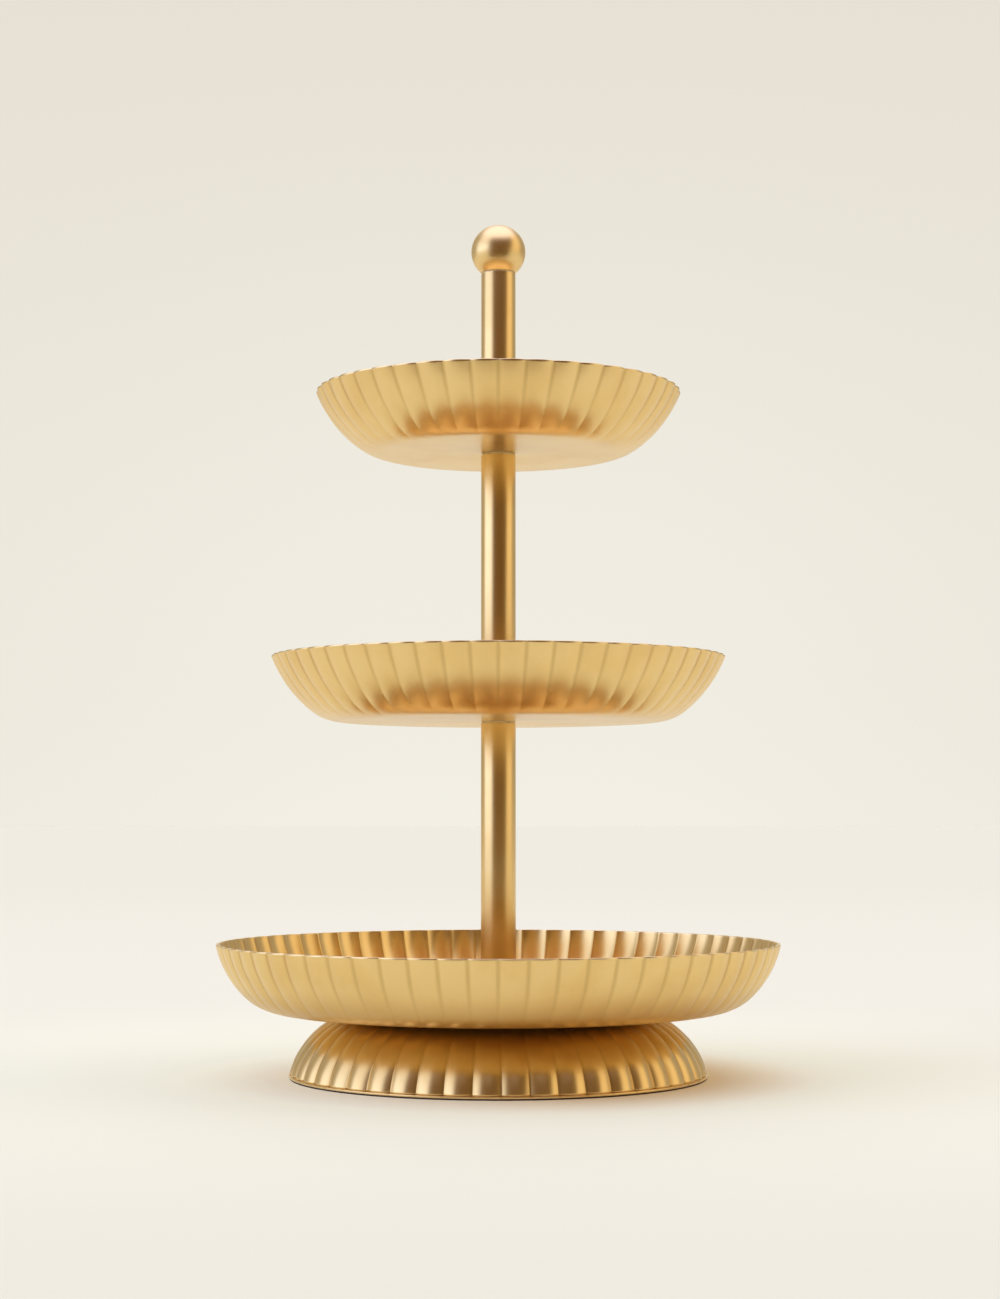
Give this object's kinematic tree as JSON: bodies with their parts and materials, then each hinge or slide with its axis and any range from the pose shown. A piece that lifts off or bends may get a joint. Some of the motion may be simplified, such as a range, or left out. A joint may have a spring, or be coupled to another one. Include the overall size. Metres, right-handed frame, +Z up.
{
  "type": "tiered cake stand",
  "caption": "Free-standing serving stand: round fluted dishes, smallest on top, on a slim round post that unscrews in sections, with a fluted turned-over bowl as its base and a ball on top.",
  "frame": {"origin": "on the resting plane, under the axis of the post", "axes": "+Z up along the post; -Y is the side the stand is seen from; +X to that viewer's right"},
  "size_m": [0.3046, 0.3046, 0.4668],
  "materials": {
    "satin_gold": "satin, lightly brushed gold plating",
    "plated_steel": "zinc plated",
    "clear_nylon": "natural nylon",
    "dark_rubber": "matt"
  },
  "bodies": {
    "base": {"base_shell": "satin_gold", "base_foot_ring": "dark_rubber", "base_gasket": "dark_rubber", "base_clamp_washer": "plated_steel", "base_spring_washer": "plated_steel"},
    "base_screw": {"base_screw": "plated_steel"},
    "lower_section": {"bottom_tray": "satin_gold", "bottom_tray_washer": "clear_nylon", "lower_tube": "satin_gold", "lower_tube_bottom_insert": "plated_steel", "lower_tube_top_insert": "plated_steel"},
    "middle_tray": {"middle_tray_lower_washer": "clear_nylon", "middle_tray": "satin_gold", "middle_tray_upper_washer": "clear_nylon"},
    "middle_section": {"middle_tube": "satin_gold", "middle_tube_bottom_insert": "plated_steel", "middle_tube_top_insert": "plated_steel", "middle_stud": "plated_steel"},
    "top_tray": {"top_tray_lower_washer": "clear_nylon", "top_tray": "satin_gold", "top_tray_upper_washer": "clear_nylon"},
    "upper_section": {"upper_tube": "satin_gold", "upper_tube_bottom_insert": "plated_steel", "upper_tube_top_insert": "plated_steel", "upper_stud": "plated_steel"},
    "finial_washer": {"finial_washer": "clear_nylon"},
    "finial": {"finial_ball": "satin_gold", "finial_stud": "plated_steel"}
  },
  "joints": [
    {"name": "lower_section_rise", "type": "slide", "parent": "base", "child": "lower_section", "axis": [0, 0, 1], "range_m": [0, 0.0125]},
    {"name": "base_screw_turn", "type": "hinge", "parent": "base", "child": "base_screw", "pos_m": [0, 0, 0.0256], "axis": [0, 0, -1], "range_deg": [0, 3600]},
    {"name": "middle_tray_rise", "type": "slide", "parent": "lower_section", "child": "middle_tray", "axis": [0, 0, 1], "range_m": [0, 0.0125]},
    {"name": "middle_section_turn", "type": "hinge", "parent": "middle_tray", "child": "middle_section", "pos_m": [0, 0, 0.1936], "axis": [0, 0, 1], "range_deg": [0, 3600]},
    {"name": "top_tray_rise", "type": "slide", "parent": "middle_section", "child": "top_tray", "axis": [0, 0, 1], "range_m": [0, 0.0125]},
    {"name": "upper_section_turn", "type": "hinge", "parent": "top_tray", "child": "upper_section", "pos_m": [0, 0, 0.3409], "axis": [0, 0, 1], "range_deg": [0, 3600]},
    {"name": "finial_rise", "type": "slide", "parent": "upper_section", "child": "finial_washer", "axis": [0, 0, 1], "range_m": [0, 0.0125]},
    {"name": "finial_turn", "type": "hinge", "parent": "finial_washer", "child": "finial", "pos_m": [0, 0, 0.4402], "axis": [0, 0, 1], "range_deg": [0, 3600]}
  ],
  "couplings": [
    {"joint": "base_screw_turn", "follows": "lower_section_rise", "rad_per_m": 5026.5},
    {"joint": "middle_section_turn", "follows": "middle_tray_rise", "rad_per_m": 5026.5},
    {"joint": "upper_section_turn", "follows": "top_tray_rise", "rad_per_m": 5026.5},
    {"joint": "finial_turn", "follows": "finial_rise", "rad_per_m": 5026.5}
  ]
}
